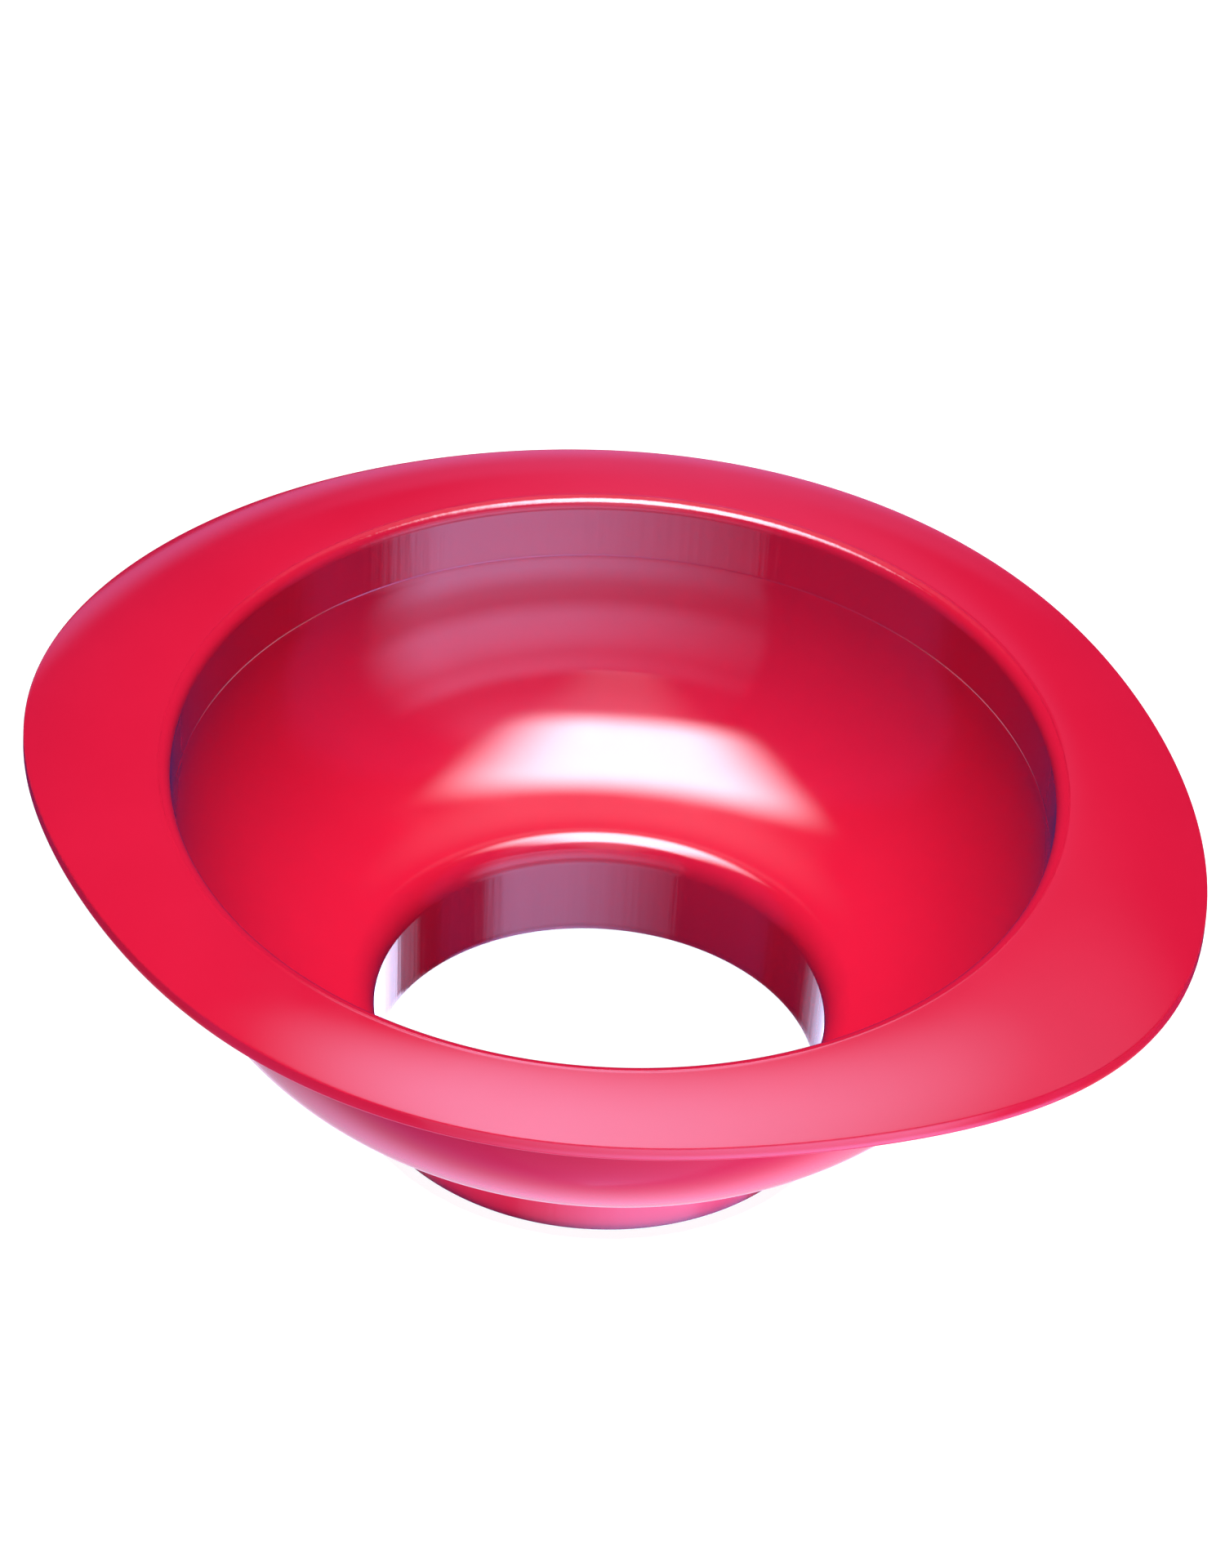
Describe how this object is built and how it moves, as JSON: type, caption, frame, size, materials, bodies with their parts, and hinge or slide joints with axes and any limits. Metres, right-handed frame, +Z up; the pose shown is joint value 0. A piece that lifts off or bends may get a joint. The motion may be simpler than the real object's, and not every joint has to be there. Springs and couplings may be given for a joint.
{
  "type": "jar funnel",
  "caption": "Wide-neck jar-filling funnel with an oval crowned brim, a round bowl and a short open neck, moulded in glossy red plastic.",
  "frame": {"origin": "on the funnel's axis, in the plane of the neck's open end, which is what it stands on", "axes": "+X along the brim's long axis, from ear to ear; +Y across the brim's round sides; +Z up the funnel's axis, from the neck to the mouth"},
  "size_m": [0.1392, 0.1244, 0.0446],
  "materials": {
    "moulded_plastic": "hard glossy moulded plastic, opaque red"
  },
  "bodies": {
    "root": {"brim": "moulded_plastic", "mouth_band": "moulded_plastic", "bowl": "moulded_plastic", "neck": "moulded_plastic"}
  },
  "joints": []
}
